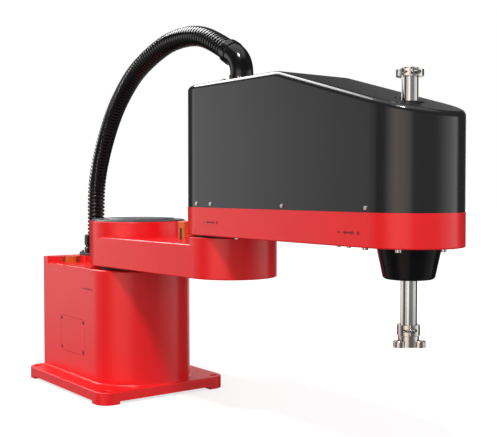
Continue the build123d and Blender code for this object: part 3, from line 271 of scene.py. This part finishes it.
def centreline(route):
    """Points along a smooth curve that the route's points control."""
    curve = bpy.data.curves.new("centreline", "CURVE")
    curve.dimensions = "3D"
    curve.resolution_u = CURVE_STEPS
    spline = curve.splines.new("NURBS")
    spline.points.add(len(route) - 1)
    for point, (ahead, height) in zip(spline.points, route):
        point.co = (joint_x("j1_shoulder") + ahead, 0, height, 1)
    spline.order_u = 3
    spline.use_endpoint_u = True
    holder = bpy.data.objects.new("centreline", curve)
    bpy.context.scene.collection.objects.link(holder)
    mesh = bpy.data.meshes.new_from_object(holder)
    points = np.array([vertex.co for vertex in mesh.vertices])
    bpy.data.objects.remove(holder)
    return points


def distances_along(points):
    """How far along the line each of its points lies."""
    steps = np.linalg.norm(np.diff(points, axis=0), axis=1)
    return np.concatenate([[0], np.cumsum(steps)])


def even_stations(points, count):
    """The same line at equally spaced stations, and its direction at each."""
    along = distances_along(points)
    stations = np.linspace(0, along[-1], count + 1)
    line = np.stack([np.interp(stations, along, points[:, axis]) for axis in range(3)], axis=1)
    heading = np.gradient(line, axis=0)
    return line, heading / np.linalg.norm(heading, axis=1)[:, None]


def ring_radius(share):
    """The conduit's radius over one ring: a flat crest between steep grooves."""
    off_crest = max(0.0, abs(2 * share - 1) - CREST_SHARE) / (1 - CREST_SHARE)
    return CONDUIT_DIAMETER / 2 - CONDUIT_GROOVE * off_crest


def conduit(name, node, route):
    """A corrugated tube along the curved route from one body to the next, standing for its plain solid."""
    points = centreline(route)
    rings = round(distances_along(points)[-1] / CONDUIT_PITCH)
    line, heading = even_stations(points, rings * STATIONS_PER_RING)
    angles = [2 * math.pi * side / CONDUIT_SIDES for side in range(CONDUIT_SIDES)]
    aside = np.array((0.0, 1.0, 0.0))
    mesh = bmesh.new()
    loops = []
    for index, (centre, ahead) in enumerate(zip(line, heading)):
        radius = ring_radius(index % STATIONS_PER_RING / STATIONS_PER_RING)
        over = np.cross(ahead, aside)
        loops.append([mesh.verts.new(centre + radius * (math.cos(a) * aside + math.sin(a) * over))
                      for a in angles])
    for first, second in zip(loops, loops[1:]):
        for side in range(CONDUIT_SIDES):
            after = (side + 1) % CONDUIT_SIDES
            mesh.faces.new((first[side], first[after], second[after], second[side])).smooth = True
    mesh.faces.new(loops[0][::-1])
    mesh.faces.new(loops[-1])
    bmesh.ops.recalc_face_normals(mesh, faces=mesh.faces)
    tube = new_piece(name, mesh, FINISHES["hose_black"])
    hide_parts(node)
    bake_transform(tube)


def bar(mesh, x, z, length, height):
    """A flat printed stroke in the mark's own plane."""
    corners = [mesh.verts.new((x + i * length / 2, 0, z + j * height / 2))
               for i, j in ((-1, -1), (1, -1), (1, 1), (-1, 1))]
    mesh.faces.new(corners)


def axis_mark(name, body, joint, ahead, wall, height, length):
    """A printed double arrow between a minus and a plus sign."""
    mesh = bmesh.new()
    sign_x = (length - MARK_SIGN) / 2
    bar(mesh, -sign_x, 0, MARK_SIGN, MARK_STROKE)
    bar(mesh, sign_x, 0, MARK_SIGN, MARK_STROKE)
    for side in (1, -1):
        bar(mesh, sign_x, side * (MARK_SIGN + MARK_STROKE) / 4, MARK_STROKE, (MARK_SIGN - MARK_STROKE) / 2)
    # Two signs, two gaps and two arrow heads are each as long as a sign
    shaft = length - 6 * MARK_SIGN
    bar(mesh, 0, 0, shaft, MARK_STROKE)
    for side in (-1, 1):
        root = side * shaft / 2
        tip = root + side * MARK_SIGN
        head = [mesh.verts.new(corner) for corner in ((tip, 0, 0), (root, 0, ARROW_HALF_WIDTH),
                                                      (root, 0, -ARROW_HALF_WIDTH))]
        mesh.faces.new(head[::-side])
    place = (joint_x(joint) + ahead, -wall - MARK_RAISED, height)
    bmesh.ops.translate(mesh, vec=place, verts=mesh.verts)
    ink = new_piece(name, mesh, FINISHES["mark_ink"])
    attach(ink, body)


def add_camera():
    """A camera with the photograph's own view."""
    camera = bpy.data.objects.new("camera", bpy.data.cameras.new("camera"))
    camera.data.sensor_width = SENSOR_MM
    camera.data.lens = CAMERA_LENS_MM
    camera.location = CAMERA_PLACE
    camera.rotation_euler = (math.radians(90 - CAMERA_DOWN_DEG), 0, math.radians(CAMERA_ROUND_DEG))
    bpy.context.scene.collection.objects.link(camera)
    bpy.context.scene.camera = camera


def add_key():
    """The main light, high on the camera's side, whose shadow of the arm falls on the column."""
    lamp = bpy.data.lights.new("key", "SUN")
    lamp.energy = KEY_LEVEL
    lamp.angle = math.radians(KEY_SPREAD_DEG)
    lamp.specular_factor = KEY_GLOSS
    holder = bpy.data.objects.new("key", lamp)
    holder.rotation_euler = Vector(KEY_FROM).to_track_quat("Z", "Y").to_euler()
    bpy.context.scene.collection.objects.link(holder)


def combine(tree, operation, first, second):
    """One value out of two by a sum, a product or the like; the second may be a number."""
    node = add(tree, "ShaderNodeMath")
    node.operation = operation
    tree.links.new(first, node.inputs[0])
    if isinstance(second, (int, float)):
        node.inputs[1].default_value = second
    else:
        tree.links.new(second, node.inputs[1])
    return node.outputs["Value"]


def level_by_angle(tree, angle, stops):
    """A brightness that follows an angle through its stops, which run as far each way as the last."""
    reach_deg = stops[-1][0]
    turn = add(tree, "ShaderNodeMapRange", {"From Min": -math.radians(reach_deg),
                                            "From Max": math.radians(reach_deg)})
    tree.links.new(angle, turn.inputs["Value"])
    ramp = add(tree, "ShaderNodeValToRGB")
    elements = ramp.color_ramp.elements
    top = max(level for _, level in stops)
    # New stops start at the middle and are moved to their own places
    while len(elements) < len(stops):
        elements.new(0.5)
    for element, (degrees, level) in zip(elements, stops):
        element.position = (degrees + reach_deg) / (2 * reach_deg)
        element.color = (level / top, level / top, level / top, 1)
    tree.links.new(turn.outputs["Result"], ramp.inputs["Fac"])
    return combine(tree, "MULTIPLY", ramp.outputs["Color"], top)


def seen_in_gloss(tree, gloss):
    """Sets the studio that reflections show: panels round the horizon, overhead and behind."""
    coordinates = add(tree, "ShaderNodeTexCoord")
    split = add(tree, "ShaderNodeSeparateXYZ")
    tree.links.new(coordinates.outputs["Generated"], split.inputs["Vector"])
    bearing = combine(tree, "ARCTAN2", split.outputs["Y"], split.outputs["X"])
    rise = add(tree, "ShaderNodeMath")
    rise.operation = "ARCSINE"
    tree.links.new(split.outputs["Z"], rise.inputs[0])
    elevation = rise.outputs["Value"]
    band = combine(tree, "MULTIPLY", level_by_angle(tree, bearing, HORIZON),
                   level_by_angle(tree, elevation, BAND))
    edge = combine(tree, "MULTIPLY", level_by_angle(tree, bearing, EDGE_PANEL_ROUND),
                   level_by_angle(tree, elevation, EDGE_PANEL_UP))
    overhead = level_by_angle(tree, elevation, OVERHEAD)
    level = combine(tree, "ADD", combine(tree, "ADD", band, edge), overhead)
    tree.links.new(level, gloss.inputs["Strength"])
    warmth = level_by_angle(tree, bearing, WARM)
    colour = add(tree, "ShaderNodeCombineColor")
    for channel, loss in zip(("Red", "Green", "Blue"), WARM_LOSS):
        lost = combine(tree, "MULTIPLY", warmth, -loss)
        tree.links.new(combine(tree, "ADD", lost, 1.0), colour.inputs[channel])
    tree.links.new(colour.outputs["Color"], gloss.inputs["Color"])


def mix(tree, factor, first, second):
    """The first shader where the factor is 0, and the second where it is 1."""
    node = add(tree, "ShaderNodeMixShader")
    tree.links.new(factor, node.inputs["Fac"])
    tree.links.new(first, node.inputs[1])
    tree.links.new(second, node.inputs[2])
    return node.outputs["Shader"]


def add_world():
    """A white backdrop to the camera, an even dome to matt surfaces, and panels in gloss."""
    world = bpy.data.worlds.new("studio")
    bpy.context.scene.world = world
    world.use_nodes = True
    tree = world.node_tree
    tree.nodes.clear()
    path = add(tree, "ShaderNodeLightPath")
    backdrop = add(tree, "ShaderNodeBackground", {"Color": WHITE, "Strength": 1.0})
    dome = add(tree, "ShaderNodeBackground", {"Color": WHITE, "Strength": DOME_LEVEL})
    gloss = add(tree, "ShaderNodeBackground")
    seen_in_gloss(tree, gloss)
    lit = mix(tree, path.outputs["Is Glossy Ray"], dome.outputs["Background"], gloss.outputs["Background"])
    seen = mix(tree, path.outputs["Is Camera Ray"], lit, backdrop.outputs["Background"])
    output = add(tree, "ShaderNodeOutputWorld")
    tree.links.new(seen, output.inputs["Surface"])


def add_floor():
    """A pale floor, white to the camera, that keeps the shadow and lets gloss see the studio."""
    material, tree, shader = new_material("pale_floor")
    set_inputs(shader, {"Base Color": (FLOOR_SHADE, FLOOR_SHADE, FLOOR_SHADE, 1),
                        "Roughness": FLOOR_ROUGHNESS, "Specular IOR Level": 0.0, "Emission Color": WHITE})
    path = add(tree, "ShaderNodeLightPath")
    glow = add(tree, "ShaderNodeMapRange", {"To Max": FLOOR_GLOW})
    tree.links.new(path.outputs["Is Camera Ray"], glow.inputs["Value"])
    tree.links.new(glow.outputs["Result"], shader.inputs["Emission Strength"])
    clear = add(tree, "ShaderNodeBsdfTransparent")
    passed = mix(tree, path.outputs["Is Glossy Ray"], shader.outputs["BSDF"], clear.outputs["BSDF"])
    tree.links.new(passed, tree.nodes["Material Output"].inputs["Surface"])
    mesh = bmesh.new()
    bmesh.ops.create_grid(mesh, x_segments=1, y_segments=1, size=FLOOR_HALF_WIDTH)
    new_piece("floor", mesh, material)


bpy.context.scene.view_settings.view_transform = "Standard"
add_camera()
conduit("conduit_rings_lower", "conduit_lower", LOWER_ROUTE)
conduit("conduit_rings_upper", "conduit_upper", UPPER_ROUTE)
dress_nodes()
add_world()
add_floor()
add_key()
for mark in MARKS:
    axis_mark(*mark)
